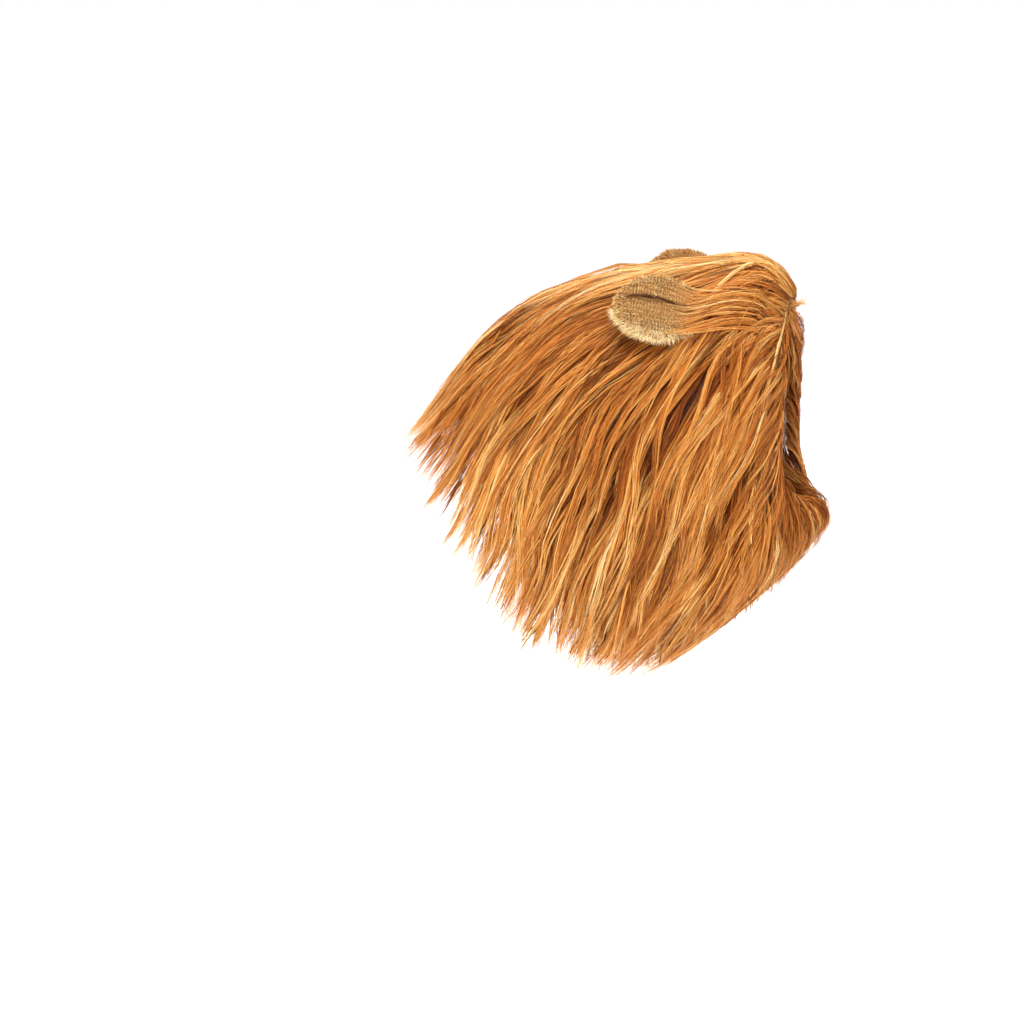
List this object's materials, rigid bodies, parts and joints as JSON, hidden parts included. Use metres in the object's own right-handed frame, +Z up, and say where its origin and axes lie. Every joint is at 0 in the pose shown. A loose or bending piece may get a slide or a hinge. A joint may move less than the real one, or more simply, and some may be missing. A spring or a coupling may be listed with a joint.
{
  "type": "pet lion mane wig",
  "caption": "Pull-on lion mane for a large dog: an open-faced cloth hood covered with long orange-brown faux fur, with two rounded plush ears.",
  "frame": {"origin": "inside of the hood's crown, where it sits on top of the head", "axes": "+Z up, -Y out of the face opening, +X to the wearer's left"},
  "size_m": [0.3556, 0.4669, 0.4582],
  "materials": {
    "hood_cloth": "matt stretch knit",
    "long_fur": "long faux fur with a soft sheen",
    "ear_plush": "shaggy plush",
    "ear_pile": "short dense pile"
  },
  "bodies": {
    "root": {"hood_backing": "hood_cloth", "mane_fur": "long_fur", "ear_left_back": "ear_plush", "ear_left_face": "ear_pile", "ear_right_back": "ear_plush", "ear_right_face": "ear_pile"}
  },
  "joints": []
}
